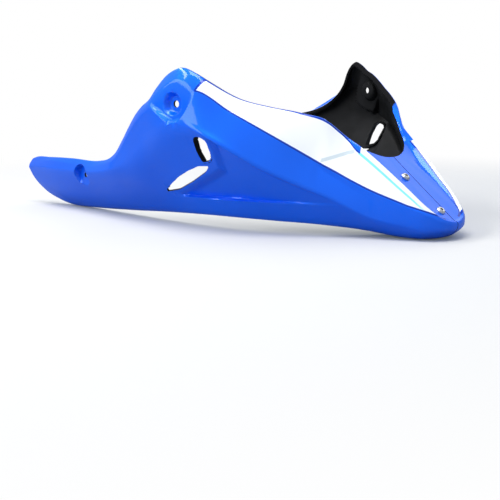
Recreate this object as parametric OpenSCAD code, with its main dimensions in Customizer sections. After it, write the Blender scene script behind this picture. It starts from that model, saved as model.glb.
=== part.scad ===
// Motorcycle belly pan: two moulded side shells, joined at the nose by two screws.
// +X points to the front of the motorcycle, +Y to its left, +Z up.
// The origin is on the ground, under the middle of the pan.

/* [Overall] */
// Length from the tip of the tail to the nose
pan_length = 631; // [560:1:700]
// Width across both sides at their widest
pan_width = 369; // [350:1:390]
// Height of the left side at its highest point
pan_height = 200; // [180:1:225]
// Thickness of the moulded wall
wall = 3; // [2.5:0.1:4]
// Gap between the two shells at the nose seam
seam_gap = 1; // [0.5:0.1:2]

/* [Edges] */
// Width of the turned-in edge along the top rim
rim_flange = 9; // [6:0.5:12]
// Width of the turned-in edge along the bottom
foot_flange = 9; // [6:0.5:12]
// Step down under the front part of the upper facet
facet_step = 4; // [2:0.5:6]
// Depth of the long recess in each side
recess_depth = 7; // [4:0.5:9]

/* [Upper mounts] */
// Distance of the right upper mount from the tip of the tail
mount_x_right = 356; // [352:1:360]
// Distance of the left upper mount from the tip of the tail
mount_x_left = 381; // [377:1:385]
// Height of the right upper mount
mount_z_right = 151; // [148:1:154]
// Height of the left upper mount
mount_z_left = 160; // [157:1:163]
// Depth of the right mount seat behind the crease of the side
mount_depth_right = 14.5; // [13:0.1:16]
// Depth of the left mount seat behind the crease of the side
mount_depth_left = 9.7; // [9:0.1:12]
// Angle by which the upper mounts turn towards the nose
mount_toe_in = 8; // [5:0.5:11]
// Diameter of the bolt hole in each upper mount
mount_bore = 8.5; // [6.5:0.1:10.5]
// Width of the round cup around each upper bolt hole at its mouth
cup_mouth_d = 26; // [24:0.5:28]
// Width of the same cup at its seat
cup_seat_d = 20; // [17:0.5:22]
// Depth of the cup from the pocket floor to the seat
cup_depth = 7; // [5:0.5:8]
// Thickness of the seat
seat_t = 4; // [3:0.5:6]

/* [Window] */
// Depth of the collar round each window, from the skin
collar_depth = 8; // [6:0.5:9]
// Thickness of the collar
collar_t = 2; // [1.5:0.1:2.5]

/* [Tail mounts] */
// Distance of the right tail mount from the tip of the tail
tail_x_right = 146; // [138:1:154]
// Height of the right tail mount
tail_z_right = 51; // [48:1:54]
// Distance of the left tail mount from the tip of the tail
tail_x_left = 155; // [150:1:160]
// Height of the left tail mount
tail_z_left = 64; // [61:1:67]
// Depth of the tail recess, from the skin above the long recess to the seat
tail_depth = 10.5; // [9.5:0.1:12]
// Diameter of the bolt hole in each tail mount
tail_bore = 6.5; // [5:0.1:8]
// Width of the round recess around each tail bolt hole
tail_cup_d = 30; // [28:0.5:34]

/* [Nose joint] */
// Distance along the seam from the mouth to the upper screw
screw_first = 33; // [28:1:38]
// Distance between the two nose screws
screw_pitch = 56; // [50:1:58]
// Distance of the upper screw from the seam
screw_side_upper = 13.5; // [11:0.5:15]
// Distance of the lower screw from the seam
screw_side_lower = 8; // [7.5:0.5:10]
// Thread diameter of the screws
screw_d = 6; // [5:0.5:7]
// Head diameter of the screws
screw_head_d = 10.5; // [9.5:0.1:12.5]
// Head height of the screws
screw_head_h = 3.3; // [2.5:0.1:4]
// Length of the screws under the head
screw_length = 16; // [14:1:22]
// Width across the flats of the hexagon socket
socket_af = 4; // [3:0.5:5]
// Diameter of the screw holes in the shells
screw_hole = 6.6; // [6.4:0.1:7.5]
// Thickness of the hidden joining flange
flange_t = 3; // [2:0.5:4]
// Gap between the right shell and the joining flange
flange_gap = 0.6; // [0.5:0.1:1]

/* [Hidden] */
eps = 0.01;
// How far the collar starts under the skin
collar_sink = 1;
// How far the cuts run: a pocket and a tail recess past their floors, a vent from its start
// well inside the shell, a bolt hole past both faces of its seat
pocket_reach = 40;
tail_reach = 25;
vent_start = 120;
vent_reach = 80;
bore_reach = 5;
// Depth of the tray behind a pocket
tray_depth = 26;

// The guide lines below are written at the sizes that these three give
kx = pan_length / 631;
ky = (pan_width - seam_gap) / 368;
kz = pan_height / 200;

// Station of a point: its distance from the tail, and past the pivot an angle added to it,
// so that the sections stand across the pan and then fan round the nose to the seam
pivot_x = 500;
function station(p) = p[0] < pivot_x ? p[0] : pivot_x + 90 - atan2(p[1], p[0] - pivot_x);

// Guide lines of one side from the tail to the seam: [from the tail, from the middle, height]
mouth_right = [[500, 60, 125], [511, 54, 116], [520, 48, 107], [528, 42, 100]];
mouth_left = [[500, 58, 137], [511, 51, 125.6], [520, 45, 114.6], [528, 41.5, 103]];
mouth_nose = [[537, 29, 93], [542, 13, 88], [544, 0, 87]];
foot_right = [[500, 63, 128], [511, 55, 117], [520, 50, 109], [528, 45, 102]];
foot_left = [[500, 61, 140], [511, 52.5, 127.6], [520, 46.4, 117.6], [528, 44.5, 106.4]];
foot_nose = [[544, 39, 87], [583, 32, 56],
    [613, 26, 32], [622, 19, 25], [625, 9, 22], [626, 0, 21]];
rim_nose = [[544, 50, 97], [583, 39, 64], [614, 29, 36], [625, 20, 26], [629, 9, 22], [630, 0, 20]];
rim_right = [[0, 147, 60], [6, 148, 65], [16, 149, 68], [60, 153, 71], [120, 157, 73], [189, 161, 74],
    [212, 164, 78], [229, 166, 86], [248, 168, 104], [267, 171, 123], [285, 174, 139], [300, 176, 149],
    [313, 177, 156], [326, 174, 172], [340, 170, 186], [352, 168, 192], [362, 167, 194], [383, 163, 187],
    [394, 156, 179], [424, 131, 157], [450, 110, 148], [477, 88, 141], [502, 68, 131], [512, 59, 120],
    [520, 54, 112], [532, 52, 105]];
rim_left = [[73, 153, 52], [81, 154, 60], [111, 156, 83], [131, 158, 103], [141, 159, 115], [149, 160, 120],
    [160, 161, 119], [181, 163, 116], [215, 166, 118], [248, 169, 125], [272, 171, 130], [290, 172, 136],
    [310, 173, 147], [326, 173, 160.8], [336, 172, 173], [345, 170, 190], [351, 169, 198], [358, 168, 201],
    [366, 167, 198], [383, 162, 188], [394, 155, 185], [424, 131, 176], [450, 110, 166], [477, 88, 156],
    [502, 66, 143], [512, 57, 131], [520, 52, 120], [532, 51, 108]];
facet_right = [[0, 149, 57], [60, 156, 66], [189, 164, 68], [229, 169, 78], [267, 174, 112], [300, 180, 138],
    [326, 183, 152], [362, 183, 166], [389, 170, 168], [424, 149, 144], [464, 123, 117], [503, 88, 86]];
facet_left = [[73, 155, 49], [111, 158, 74], [149, 162, 108], [181, 166, 108], [215, 169, 110], [248, 173, 120],
    [280, 178, 138], [303, 182, 152], [343, 183.4, 168], [389, 170, 166], [424, 149, 144], [464, 123, 117],
    [503, 88, 86]];
facet_nose = [[554, 62, 54], [590, 46, 39], [614, 34, 29], [625, 22, 22], [630, 9, 18], [631, 0, 17]];
recess_top_right = [[0, 150, 54], [60, 158, 52], [150, 163, 54], [229, 170, 62], [280, 174, 72]];
recess_top_left = [[73, 156, 46], [111, 159, 56], [149, 163, 70], [229, 170, 78], [280, 174, 84]];
recess_top_front = [[300, 176, 84], [345, 184, 112], [387, 181, 122], [417, 172, 111], [461, 140, 81],
    [500, 105, 57], [529, 82, 41], [560, 62, 28], [590, 47, 20], [614, 34, 15], [625, 22, 13], [629, 9, 12],
    [630, 0, 12]];
recess_low_right = [[0, 150, 51], [24, 148, 34], [60, 146, 24], [150, 144, 24], [229, 145, 28]];
recess_low_left = [[73, 156, 43], [95, 152, 38], [150, 148, 32], [229, 146, 30]];
recess_low_front = [[301, 143, 36], [360, 135, 37], [438, 117, 38], [500, 92, 38], [529, 80, 37], [560, 62, 22],
    [590, 46, 15], [612, 33, 10], [621, 21, 9], [625, 9, 8], [626, 0, 8]];
edge_right = [[0, 148, 48], [6, 147, 38], [24, 139, 18], [50, 132, 6], [73, 128, 0.7], [92, 126, -0.3],
    [120, 127, 0.7]];
edge_left = [[73, 153, 40], [85, 147, 30], [105, 140, 22], [160, 133, 16]];
edge_front = [[212, 130, 6], [303, 130, 12], [356, 126, 14], [418, 113, 14], [447, 101, 13], [500, 77, 11],
    [548, 52, 6], [585, 35, 0.7], [605, 23, -0.2], [613, 12, 0.2], [616, 0, 0.7]];
belly_nose = [[500, 62, 11], [520, 48, 9], [537, 32, 6.2], [550, 15, 3.6], [556, 0, 2.6]];

// Round stretches: every guide line is a cubic curve through its points, and is read by station
curve_steps = 4;
function tangent(g, i) = let (last = len(g) - 1)
    i == 0 ? (g[1] - g[0]) / norm(g[1] - g[0])
    : i == last ? (g[last] - g[last - 1]) / norm(g[last] - g[last - 1])
    : let (a = norm(g[i] - g[i - 1]), b = norm(g[i + 1] - g[i]))
      ((g[i] - g[i - 1]) * b / a + (g[i + 1] - g[i]) * a / b) / (a + b);
function hermite(p, q, tp, tq, s) = let (d = norm(q - p))
    (2 * s ^ 3 - 3 * s ^ 2 + 1) * p + (s ^ 3 - 2 * s ^ 2 + s) * d * tp
    + (3 * s ^ 2 - 2 * s ^ 3) * q + (s ^ 3 - s ^ 2) * d * tq;
function curve(g) = [for (i = [0 : len(g) - 2]) for (k = [0 : curve_steps - 1])
    hermite(g[i], g[i + 1], tangent(g, i), tangent(g, i + 1), k / curve_steps), g[len(g) - 1]];
// One table per coordinate, keyed by station
function tables(g) = let (c = curve(g)) [for (axis = [0 : 2]) [for (p = c) [station(p), p[axis]]]];
function at(t, s) = [lookup(s, t[0]), lookup(s, t[1]), lookup(s, t[2])];

rim = [tables(concat(rim_right, rim_nose)), tables(concat(rim_left, rim_nose))];
facet = [tables(concat(facet_right, facet_nose)), tables(concat(facet_left, facet_nose))];
recess_top = [tables(concat(recess_top_right, recess_top_front)),
    tables(concat(recess_top_left, recess_top_front))];
recess_low = [tables(concat(recess_low_right, recess_low_front)),
    tables(concat(recess_low_left, recess_low_front))];
edge = [tables(concat(edge_right, edge_front)), tables(concat(edge_left, edge_front))];
mouth = [tables(concat(mouth_right, mouth_nose)), tables(concat(mouth_left, mouth_nose))];
foot = [tables(concat(foot_right, foot_nose)), tables(concat(foot_left, foot_nose))];
belly = tables(belly_nose);

// The recess is deepest at its rear wall and runs out at the nose
recess_rear = 409;
recess_tip = 529;
slot_rear = 304;
slot_line = [[slot_rear, 38], [350, 54], [396, 75], [recess_rear, 81]];
function recess_at(s) = s < slot_rear || s > recess_tip ? 0
    : recess_depth * (s < recess_rear ? (s - slot_rear) / (recess_rear - slot_rear)
                                      : (recess_tip - s) / (recess_tip - recess_rear));
// Share of the way from the low line to the top line at which the recess ends
function recess_share(s, low, top) = s >= recess_rear + 1 ? 0.96
    : s <= slot_rear ? 0.1 : (lookup(s, slot_line) - low[2]) / (top[2] - low[2]);

// The top line of the recess is a soft bend behind the recess and a crisp lip along it
crease_round = [[345, 24], [recess_rear, 5]];

// Level direction out of the section at station s: to the side, and past the pivot away from it
function outwards(s) = let (turn = max(0, s - pivot_x)) [sin(turn), cos(turn), 0];

// Section of one side at station s: corner points from the inner edge of the rim to the
// inner edge of the bottom, each with the length by which its corner is rounded
function corners(side, s) = let (
    r = at(rim[side], s), f = at(facet[side], s), t = at(recess_top[side], s), l = at(recess_low[side], s),
    e = at(edge[side], s),
    front = s >= pivot_x,
    fold = min(1, max(0, (r[2] - e[2]) / 12 - 1)),
    m = front ? at(mouth[side], s) : r + [0, -rim_flange, -rim_flange * 0.6 * fold],
    n = front ? at(foot[side], s) : r + [0, -rim_flange / 2, -rim_flange * 0.15 * fold],
    b = front ? at(belly, s) : e + [0, -foot_flange, foot_flange * 0.15 * fold],
    depth = max(recess_at(s), 0.3), share = recess_share(s, l, t),
    wall_top = l + (t - l) * share, wall_low = l + (t - l) * 0.04,
    step = facet_step * min(1, max(0, (s - 500) / 6)) * min(1, max(0, (588 - s) / 20)),
    crease = f + 0.4 * step * outwards(s), stepped = min(1, step / 2),
    in = -depth * outwards(s))
    [[m, 0], [n, 1], [r, 1.5], [crease, 1.5],
     [stepped * (crease + [0, 0, -step - 2]) + (1 - stepped) * (crease + (t - crease) / 4), 2],
     [t, lookup(s, crease_round)],
     [wall_top, 1], [wall_top + in + [0, 0, -depth * 0.5], 1], [wall_low + in, 1], [l + [0, 0, -1], 1.5],
     [e, 4], [b, 0]];

// Each inner corner becomes three points of a short round
function rounded(c) = [for (i = [0 : len(c) - 1])
    let (p = c[i][0], r = c[i][1])
    if (r == 0) p
    else let (q = c[i - 1][0], n = c[i + 1][0], a = min(r, norm(q - p) * 0.4), b = min(r, norm(n - p) * 0.4),
              u = p + (q - p) / norm(q - p) * a, v = p + (n - p) / norm(n - p) * b)
        each [u, (u + 2 * p + v) / 4, v]];

stations_right = [0, 4, 10, 20, 35, 60, 100, 150, 190, 212, 229, 248, 267, 285, 304, 322, 334, 344, 353,
    362, 372, 382, 394, 405, 408, 411, 440, 460, 480, 500];
stations_left = [73, 77, 85, 98, 111, 131, 149, 165, 190, 215, 240, 262, 283, 304, 320, 333, 342, 350, 358, 367,
    382, 394, 405, 408, 411, 440, 460, 480, 500];
stations_nose = [510, 520, 530, 540, 548, 555, 561, 566, 570, 574, 577.5, 580.5, 583, 586, 590];

function scaled(p) = [p[0] * kx, p[1] * ky + seam_gap / 2, p[2] * kz];
function unit(v) = v / norm(v);
function stations(side) = concat(side == 0 ? stations_right : stations_left, stations_nose);
function outer(side) = [for (s = stations(side)) [for (p = rounded(corners(side, s))) scaled(p)]];

// Direction square to the section at station s, pointing to the nose and then round it
function across(s) = let (turn = max(0, s - pivot_x)) [cos(turn), -sin(turn), 0];
// Inner corner of the wall: as far behind both faces that meet at the corner as the wall is thick,
// in the plane of its section. Between the top and the low corner of the recess the two ways in
// are blended.
rim_corner = 2;
top_corner = 5;
low_corner = 9;
shortest_share = 0.74;
function inner(side) = let (
    rows = stations(side),
    g = [for (s = rows) [for (c = corners(side, s)) scaled(c[0])]],
    n = len(rows) - 1, m = len(g[0]) - 1)
    [for (i = [0 : n]) let (
        q = across(rows[i]), row = g[i], ahead = g[min(i + 1, n)], behind = g[max(i - 1, 0)],
        square = function (a, b) unit(cross(ahead[a] + ahead[b] - behind[a] - behind[b], row[b] - row[a])),
        next = [for (j = [0 : m]) j >= top_corner && j < low_corner ? low_corner : min(j + 1, m)],
        way_in = [for (j = [0 : m]) let (
            before = j > top_corner && j <= low_corner ? top_corner : max(j - 1, 0),
            sum = square(before, before == j ? 1 : j) + square(next[j] == j ? m - 1 : j, next[j]),
            way = unit(sum - (sum * q) * q))
            way * wall / max(way * sum / 2, shortest_share)])
        [for (j = [0 : m]) let (
            part = j <= top_corner || j >= low_corner ? 0
                : (row[top_corner][2] - row[j][2]) / (row[top_corner][2] - row[low_corner][2]))
            row[j] - (j <= top_corner || j >= low_corner ? way_in[j]
                : way_in[top_corner] * (1 - part) + way_in[low_corner] * part)]];

// Closed wall of one side between its rounded outer corners and its sharp inner ones.
// hand is -1 on the right and 1 on the left.
module side_wall(side) {
    a = outer(side);
    b = inner(side);
    n = len(a);
    m = len(a[0]);
    w = len(b[0]);
    k = n * m;
    place = function (p) [p[0] - pan_length / 2, hand(side) * p[1], p[2]];
    points = [for (row = concat(a, b)) for (p = row) place(p)];
    first = function (j) j == 0 ? 0 : 3 * j - 2;
    last = function (j) j == 0 ? 0 : j == w - 1 ? m - 1 : 3 * j;
    cap = function (o, i) concat(
        [for (j = [0 : w - 2]) [o + last(j), i + j, i + j + 1, o + first(j + 1)]],
        [for (j = [1 : w - 2]) for (d = [0, 1]) [o + first(j) + d, i + j, o + first(j) + d + 1]]);
    faces = concat(
        [for (i = [0 : n - 2]) for (j = [0 : m - 2])
            [i * m + j, i * m + j + 1, (i + 1) * m + j + 1, (i + 1) * m + j]],
        [for (i = [0 : n - 2]) for (j = [0 : w - 2])
            [k + i * w + j, k + (i + 1) * w + j, k + (i + 1) * w + j + 1, k + i * w + j + 1]],
        [for (i = [0 : n - 2]) [i * m, (i + 1) * m, k + (i + 1) * w, k + i * w]],
        [for (i = [1 : n - 1])
            [i * m - 1, k + i * w - 1, k + (i + 1) * w - 1, (i + 1) * m - 1]],
        cap(0, k), flipped(cap((n - 1) * m, k + (n - 1) * w)));
    polyhedron(points, side == 0 ? flipped(faces) : faces, convexity = 10);
}
function flipped(faces) = [for (f = faces) [for (i = [len(f) - 1 : -1 : 0]) f[i]]];

// Closed space between two grids of points with as many rows and columns
module space_between(a, b, hand) {
    n = len(a);
    m = len(a[0]);
    k = n * m;
    place = function (p) [p[0] - pan_length / 2, hand * p[1], p[2]];
    points = [for (row = concat(a, b)) for (p = row) place(p)];
    faces = concat(
        [for (i = [0 : n - 2]) for (j = [0 : m - 2])
            [i * m + j, i * m + j + 1, (i + 1) * m + j + 1, (i + 1) * m + j]],
        [for (i = [0 : n - 2]) for (j = [0 : m - 2])
            [k + i * m + j, k + (i + 1) * m + j, k + (i + 1) * m + j + 1, k + i * m + j + 1]],
        [for (i = [0 : n - 2]) [i * m, (i + 1) * m, k + (i + 1) * m, k + i * m]],
        [for (i = [1 : n - 1])
            [i * m - 1, k + i * m - 1, k + (i + 1) * m - 1, (i + 1) * m - 1]],
        [for (j = [0 : m - 2]) [j, k + j, k + j + 1, j + 1]],
        [for (j = [0 : m - 2]) let (o = (n - 1) * m) [o + j, o + j + 1, k + o + j + 1, k + o + j]]);
    polyhedron(points, hand < 0 ? flipped(faces) : faces, convexity = 10);
}

// Right and left side of a pair of values
function hand(side) = side == 0 ? -1 : 1;
mount_x = [mount_x_right, mount_x_left];
mount_depth = [mount_depth_right, mount_depth_left];
mount_w = [for (side = [0, 1]) scaled(at(facet[side], mount_x[side]))[1] - mount_depth[side]];
mount_z = [mount_z_right, mount_z_left];
tail_x = [tail_x_right, tail_x_left];
tail_z = [tail_z_right, tail_z_left];
tail_w = [for (side = [0, 1]) scaled(at(recess_top[side], tail_x[side]))[1] - tail_depth];

// Puts its children on a side: their +Z points outwards, turned towards the nose by toe
module on_side(side, x, w, z, toe = 0)
    translate([x * kx - pan_length / 2, hand(side) * w, z * kz])
        rotate([0, 0, -hand(side) * toe]) rotate([-90 * hand(side), 0, 0]) children();

// Outline given as [from the tail, height] points, drawn around the centre (x, z)
module outline(side, points, x = 0, z = 0)
    polygon([for (p = points) [(p[0] - x) * kx, -hand(side) * (p[1] - z) * kz]]);

// Pocket around each upper mount: open to the rim on the right, closed on the left
pockets = [[[300, 158], [321, 150], [343, 138], [356, 130], [366, 130], [373, 134], [380, 142], [390, 172],
        [390, 200], [300, 200]],
    [[365, 188], [352, 149], [354, 144], [380, 129], [386, 131], [404, 166], [402, 171], [371, 189]]];
pocket_columns = [[300, 312, 322, 332, 345, 358, 372, 384, 394], [335, 345, 351, 360, 370, 382, 394, 402, 408]];
tail_columns = [[115, 125, 135, 146, 157, 170, 180], [125, 135, 145, 155, 165, 175, 185]];

// Space just under the skin of a side, down to an upright plane inside the shell
module under_skin(side, columns, corner_rows, plane_w) {
    inset = 1;
    rows = [for (s = columns) let (c = corners(side, s))
        [for (k = corner_rows) let (p = c[k][0], drop = k == rim_corner ? inset : 0)
            [p[0] * kx, (p[1] - inset) * ky, (p[2] - drop) * kz]]];
    space_between(rows, [for (row = rows) [for (p = row) [p[0], plane_w, p[2]]]], hand(side));
}

module pocket_prism(side, grow, from, height)
    on_side(side, mount_x[side], mount_w[side], mount_z[side], mount_toe_in)
        translate([0, 0, from]) linear_extrude(height) offset(delta = grow)
            outline(side, pockets[side], mount_x[side], mount_z[side]);

// Tray behind the pocket, with its cup
module mount_tray(side) {
    intersection() {
        under_skin(side, pocket_columns[side], [rim_corner, 3, top_corner], mount_w[side] - tray_depth);
        difference() {
            pocket_prism(side, wall, cup_depth - wall, pocket_reach);
            pocket_prism(side, 0, cup_depth, pocket_reach);
        }
    }
    on_side(side, mount_x[side], mount_w[side], mount_z[side], mount_toe_in)
        translate([0, 0, -seat_t]) cylinder(d = cup_mouth_d + 2 * wall, h = seat_t + cup_depth - eps);
}

// Bolt hole through a seat whose front face is at the origin
module bolt_hole(d)
    translate([0, 0, -seat_t - bore_reach]) cylinder(d = d, h = seat_t + 2 * bore_reach, $fn = 48);

module cup_cut(side)
    on_side(side, mount_x[side], mount_w[side], mount_z[side], mount_toe_in) {
        cylinder(d1 = cup_seat_d, d2 = cup_mouth_d, h = cup_depth + eps, $fn = 48);
        bolt_hole(mount_bore);
    }

// Round wall and seat of the tail recess
module tail_boss(side) {
    intersection() {
        under_skin(side, tail_columns[side], [3, top_corner, low_corner], tail_w[side] - tail_reach);
        on_side(side, tail_x[side], tail_w[side], tail_z[side]) difference() {
            translate([0, 0, -wall]) cylinder(d = tail_cup_d + 2 * wall, h = tail_reach, $fn = 48);
            cylinder(d = tail_cup_d, h = tail_reach, $fn = 48);
        }
    }
    on_side(side, tail_x[side], tail_w[side], tail_z[side])
        translate([0, 0, -seat_t]) cylinder(d = tail_bore * 2.5, h = seat_t - eps);
}

module tail_cut(side)
    on_side(side, tail_x[side], tail_w[side], tail_z[side]) {
        cylinder(d = tail_cup_d, h = tail_reach, $fn = 48);
        bolt_hole(tail_bore);
    }

// Window and slot behind the recess
window_points = [[387, 84], [397, 86], [404, 91], [408, 109], [405, 112], [395, 114], [391, 111], [386, 97]];
slot_points = [[307, 41], [320, 51], [340, 62.5], [360, 71], [377, 77], [392, 78.5], [385, 70.5], [356, 56],
    [331, 45.5]];
module vent_cut(side, points)
    on_side(side, 0, vent_start, 0) linear_extrude(vent_reach) outline(side, points);

// Collar round the window, turned in from the skin
collar_columns = [376, 384, 392, 400, 408, 416];
module window_collar(side) {
    rows = [for (s = collar_columns) let (c = corners(side, s))
        [for (k = [3, top_corner, low_corner]) let (p = c[k][0])
            [p[0] * kx, p[1] * ky - collar_sink, p[2] * kz]]];
    intersection() {
        space_between(rows, [for (row = rows) [for (p = row) [p[0], p[1] - collar_depth + collar_sink, p[2]]]],
                      hand(side));
        on_side(side, 0, vent_start, 0) linear_extrude(vent_reach)
            offset(delta = collar_t) outline(side, window_points);
    }
}

module side_shell(side) {
    difference() {
        union() {
            difference() {
                side_wall(side);
                pocket_prism(side, 0, cup_depth, pocket_reach);
                cup_cut(side);
                tail_cut(side);
            }
            mount_tray(side);
            tail_boss(side);
            window_collar(side);
        }
        cup_cut(side);
        on_side(side, tail_x[side], tail_w[side], tail_z[side]) bolt_hole(tail_bore);
        vent_cut(side, window_points);
        vent_cut(side, slot_points);
    }
}

// Nose strip: its origin is the top of the seam, +X runs down the seam, +Z out of the strip
seam_top = [544 * kx - pan_length / 2, 0, 87 * kz];
seam_foot = [626 * kx - pan_length / 2, 0, 21 * kz];
strip_slope = atan2(seam_top[2] - seam_foot[2], seam_foot[0] - seam_top[0]);
module on_strip() translate(seam_top) rotate([0, strip_slope, 0]) children();
screws = [[screw_first, -screw_side_upper], [screw_first + screw_pitch, -screw_side_lower]];
module at_screw(i) on_strip() translate([screws[i][0], screws[i][1], 0]) children();
module screw_holes() for (i = [0, 1]) at_screw(i) {
    translate([0, 0, -20]) cylinder(d = screw_hole, h = 30, $fn = 48);
    cylinder(d = screw_head_d + 1, h = 10, $fn = 48);
}

// Hidden joining flange of the left shell, under the edge of the right shell
flange_top = -wall - flange_gap;
flange_start = 22;
flange_end = 96;
grip_end = 92;
taper_start = 58;
taper_end = 84;
flange_reach = 21;
flange_tip = 13.8;
flange_grip = 12;
module joining_flange() on_strip() {
    translate([0, 0, flange_top - flange_t]) linear_extrude(flange_t)
        polygon([[flange_start, flange_grip], [flange_start, -flange_reach], [taper_start, -flange_reach],
            [taper_end, -flange_tip], [flange_end, -flange_tip], [flange_end, 0], [grip_end, flange_grip]]);
    translate([flange_start, seam_gap / 2, flange_top - 0.5])
        cube([grip_end - flange_start, flange_grip - seam_gap / 2, flange_gap + 1.5]);
}

module right_side_shell() {
    color("royalblue") difference() {
        side_shell(0);
        screw_holes();
    }
}

module left_side_shell() {
    color("royalblue") difference() {
        union() {
            side_shell(1);
            joining_flange();
        }
        screw_holes();
    }
}

// Button-head screw with a hexagon socket
module nose_screw(i) at_screw(i) {
    crown = screw_head_d * 0.55;
    color("silver") difference() {
        union() {
            cylinder(d1 = screw_head_d, d2 = crown, h = screw_head_h, $fn = 48);
            translate([0, 0, -screw_length]) cylinder(d = screw_d, h = screw_length + eps, $fn = 48);
        }
        translate([0, 0, screw_head_h - 2]) cylinder(d = socket_af / cos(30), h = 3, $fn = 6);
    }
}

// Clip nut behind the joining flange: a bent plate with a round threaded collar
module clip_nut(i) at_screw(i) {
    plate_t = 1;
    collar_h = 4;
    color("dimgray") translate([0, 0, flange_top - flange_t]) difference() {
        union() {
            translate([-7, -7, -plate_t]) cube([14, 14, plate_t]);
            translate([0, 0, -plate_t - collar_h]) cylinder(d = screw_d + 4, h = collar_h + eps, $fn = 36);
        }
        translate([0, 0, -10]) cylinder(d = screw_d + 0.2, h = 20, $fn = 48);
    }
}

right_side_shell();
left_side_shell();
nose_screw(0);  // upper_nose_screw
nose_screw(1);  // lower_nose_screw
clip_nut(0);  // upper_clip_nut
clip_nut(1);  // lower_clip_nut
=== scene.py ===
import bpy
import mathutils
import numpy as np
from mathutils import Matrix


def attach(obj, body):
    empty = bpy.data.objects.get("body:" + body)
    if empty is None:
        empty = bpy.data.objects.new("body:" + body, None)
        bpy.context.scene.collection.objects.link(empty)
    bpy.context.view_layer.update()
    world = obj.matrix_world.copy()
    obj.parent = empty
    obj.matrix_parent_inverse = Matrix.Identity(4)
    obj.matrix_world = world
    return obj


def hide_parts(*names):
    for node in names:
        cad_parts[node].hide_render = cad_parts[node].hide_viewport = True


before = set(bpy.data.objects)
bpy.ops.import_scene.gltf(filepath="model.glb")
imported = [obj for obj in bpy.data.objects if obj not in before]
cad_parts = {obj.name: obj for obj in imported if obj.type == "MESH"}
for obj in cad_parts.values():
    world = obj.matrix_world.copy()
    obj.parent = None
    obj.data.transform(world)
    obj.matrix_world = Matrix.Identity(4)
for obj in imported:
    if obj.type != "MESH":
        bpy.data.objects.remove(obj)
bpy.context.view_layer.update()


# The two side shells: injection-moulded plastic about 3 mm thick, with a folded rim, a long recess with
# a slot and a collared window, a pocket and cup for the upper bolt and a round recess for the tail bolt.
# Points are in millimetres: [from the tip of the tail, from the middle, height].

LENGTH, SEAM_GAP, WALL = 631.0, 1.0, 3.0
PIVOT = 500.0


def station(p):
    """Distance from the tail; past the pivot, the pivot plus 90 less the angle round it from the seam."""
    fan = PIVOT + 90 - np.degrees(np.arctan2(p[..., 1], p[..., 0] - PIVOT))
    return np.where(p[..., 0] < PIVOT, p[..., 0], fan)


def guide(*stretches, steps=12):
    """Cubic Hermite curve through the points, as a function of station. The tangent at a point is the mean of
    the directions to its neighbours, each weighted by the distance to the other one."""
    p = np.array(sum(stretches, []), float)
    side = np.diff(p, axis=0)
    length = np.linalg.norm(side, axis=1)[:, None]
    way = side / length
    inner = (way[:-1] * length[1:] + way[1:] * length[:-1]) / (length[1:] + length[:-1])
    tangent = np.vstack([way[:1], inner, way[-1:]])
    t = (np.arange(steps) / steps)[None, :, None]
    a, b, ta, tb = (v[:, None, :] for v in (p[:-1], p[1:], tangent[:-1], tangent[1:]))
    d = length[:, None, :]
    c = ((2 * t**3 - 3 * t**2 + 1) * a + (t**3 - 2 * t**2 + t) * d * ta
         + (3 * t**2 - 2 * t**3) * b + (t**3 - t**2) * d * tb)
    c = np.vstack([c.reshape(-1, 3), p[-1:]])
    at = station(c)
    return lambda s: np.stack([np.interp(s, at, c[:, k]) for k in range(3)], -1)


mouth_nose = [[537, 29, 93], [542, 13, 88], [544, 0, 87]]
foot_nose = [[544, 39, 87], [583, 32, 56], [613, 26, 32], [622, 19, 25], [625, 9, 22], [626, 0, 21]]
rim_nose = [[544, 50, 97], [583, 39, 64], [614, 29, 36], [625, 20, 26], [629, 9, 22], [630, 0, 20]]
facet_nose = [[554, 62, 54], [590, 46, 39], [614, 34, 29], [625, 22, 22], [630, 9, 18], [631, 0, 17]]
recess_top_front = [[300, 176, 84], [345, 184, 112], [387, 181, 122], [417, 172, 111], [461, 140, 81],
                    [500, 105, 57], [529, 82, 41], [560, 62, 28], [590, 47, 20], [614, 34, 15], [625, 22, 13],
                    [629, 9, 12], [630, 0, 12]]
recess_low_front = [[301, 143, 36], [360, 135, 37], [438, 117, 38], [500, 92, 38], [529, 80, 37],
                    [560, 62, 22], [590, 46, 15], [612, 33, 10], [621, 21, 9], [625, 9, 8], [626, 0, 8]]
edge_front = [[212, 130, 6], [303, 130, 12], [356, 126, 14], [418, 113, 14], [447, 101, 13], [500, 77, 11],
              [548, 52, 6], [585, 35, 0.7], [605, 23, -0.2], [613, 12, 0.2], [616, 0, 0.7]]
belly = guide([[500, 62, 11], [520, 48, 9], [537, 32, 6.2], [550, 15, 3.6], [556, 0, 2.6]])
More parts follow.
